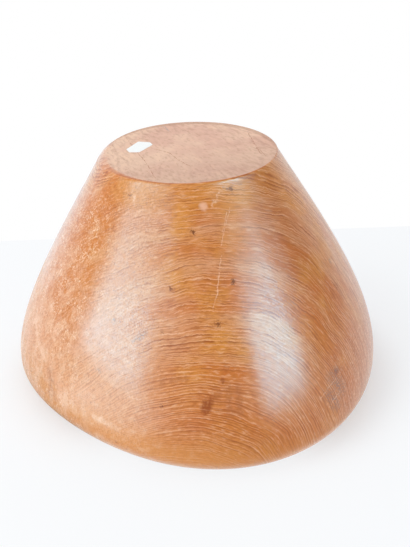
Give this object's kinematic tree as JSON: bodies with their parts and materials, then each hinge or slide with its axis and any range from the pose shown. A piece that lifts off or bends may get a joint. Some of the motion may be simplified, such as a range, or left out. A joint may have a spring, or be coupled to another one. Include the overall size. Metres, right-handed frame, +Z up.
{
  "type": "wooden salad bowl",
  "caption": "Deep turned wooden salad bowl with an incurved lip and a flat foot, stored upside down on its rim.",
  "frame": {"origin": "on the rim plane, where the upturned bowl stands on a table, in the middle of the bowl's extent", "axes": "+Z up from the rim to the foot, so that the bowl is upside down; -Y towards the viewer of the picture, +X to their right"},
  "size_m": [0.3246, 0.3176, 0.2102],
  "materials": {
    "teak": "satin varnish outside, bare and matte on the foot",
    "label_paper": "smooth coated paper"
  },
  "bodies": {
    "root": {"bowl": "teak", "price_label": "label_paper"}
  },
  "joints": []
}
